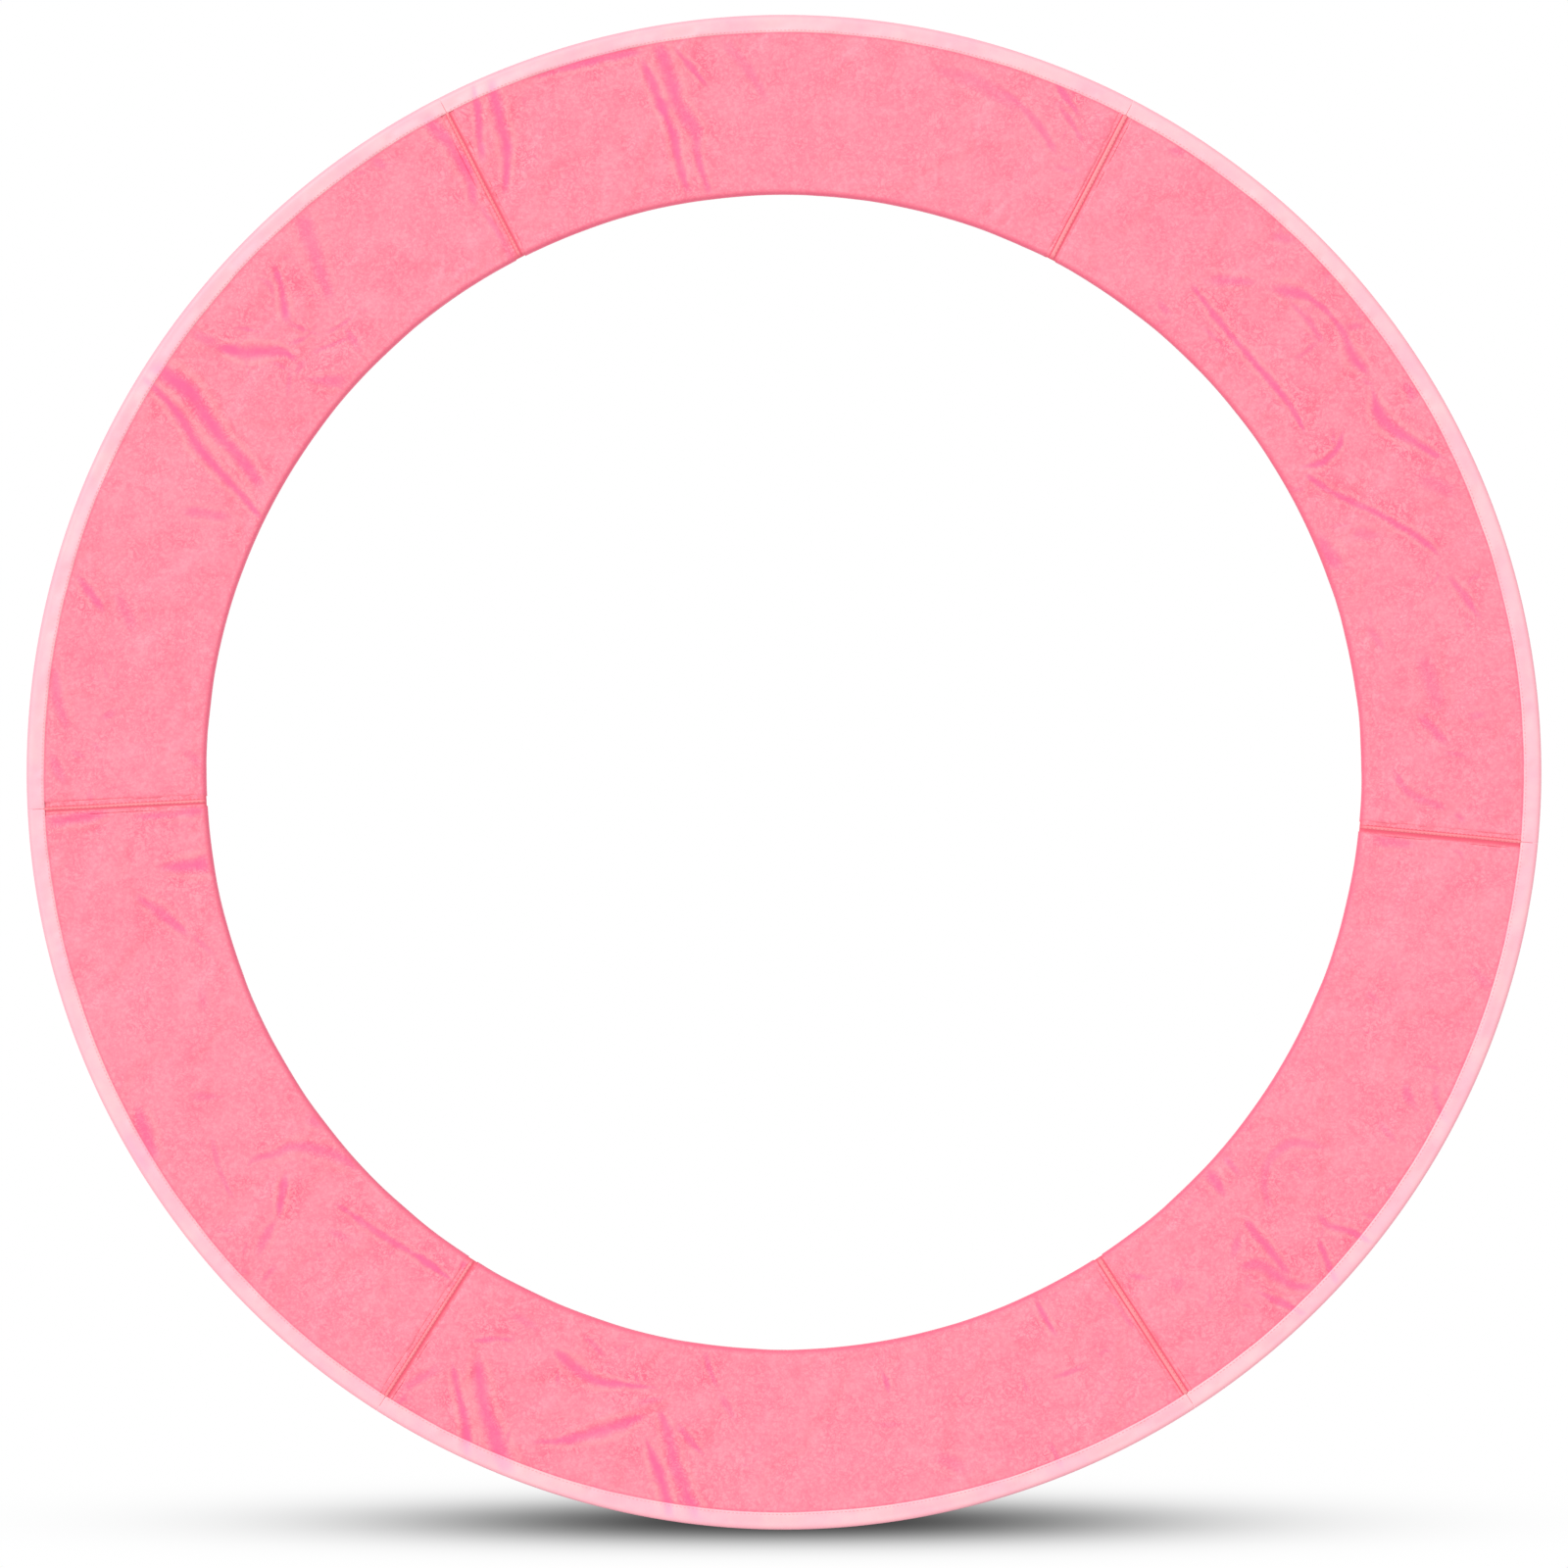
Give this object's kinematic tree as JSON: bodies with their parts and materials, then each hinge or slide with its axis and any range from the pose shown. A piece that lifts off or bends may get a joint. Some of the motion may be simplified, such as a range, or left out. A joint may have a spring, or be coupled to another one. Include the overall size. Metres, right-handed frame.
{
  "type": "trampoline safety pad",
  "caption": "Flat ring of sewn foam-filled vinyl panels that covers a round trampoline's springs and folds in half along two of its seams.",
  "frame": {"origin": "centre of the ring, on the ground plane under the pad", "axes": "+Z is the ring's normal and points out of its pink upper side; X and Y lie in the plane of the ring, which rests on the ground"},
  "size_m": [2.44, 2.44, 0.0232],
  "materials": {
    "pink_cover": "satin vinyl-coated cloth, softly creased",
    "pale_band": "satin vinyl-coated cloth",
    "seam_tape": "satin vinyl-coated cloth",
    "foam": "closed-cell foam",
    "base_cloth": "woven tape cloth",
    "webbing": "woven webbing"
  },
  "bodies": {
    "left_half": {"top_panel_1": "pink_cover", "foam_core_1": "foam", "base_panel_1": "base_cloth", "edge_band_1": "pale_band", "tie_strap_1": "webbing", "tie_strap_2": "webbing", "top_panel_2": "pink_cover", "foam_core_2": "foam", "base_panel_2": "base_cloth", "edge_band_2": "pale_band", "tie_strap_3": "webbing", "tie_strap_4": "webbing", "top_panel_3": "pink_cover", "foam_core_3": "foam", "base_panel_3": "base_cloth", "edge_band_3": "pale_band", "tie_strap_5": "webbing", "tie_strap_6": "webbing", "seam_web_1": "pink_cover", "seam_tape_1": "seam_tape", "seam_web_2": "pink_cover", "seam_tape_2": "seam_tape", "seam_web_3": "pink_cover", "seam_tape_3": "seam_tape", "seam_web_4": "pink_cover", "seam_tape_4": "seam_tape"},
    "right_half": {"top_panel_4": "pink_cover", "foam_core_4": "foam", "base_panel_4": "base_cloth", "edge_band_4": "pale_band", "tie_strap_7": "webbing", "tie_strap_8": "webbing", "top_panel_5": "pink_cover", "foam_core_5": "foam", "base_panel_5": "base_cloth", "edge_band_5": "pale_band", "tie_strap_9": "webbing", "tie_strap_10": "webbing", "top_panel_6": "pink_cover", "foam_core_6": "foam", "base_panel_6": "base_cloth", "edge_band_6": "pale_band", "tie_strap_11": "webbing", "tie_strap_12": "webbing", "seam_web_5": "pink_cover", "seam_tape_5": "seam_tape", "seam_web_6": "pink_cover", "seam_tape_6": "seam_tape"}
  },
  "joints": [
    {"name": "half_fold", "type": "hinge", "parent": "left_half", "child": "right_half", "pos_m": [-0.04104, 0.02372, 0.0238], "axis": [-0.5004, -0.8658, 0], "range_deg": [0, 175]}
  ]
}
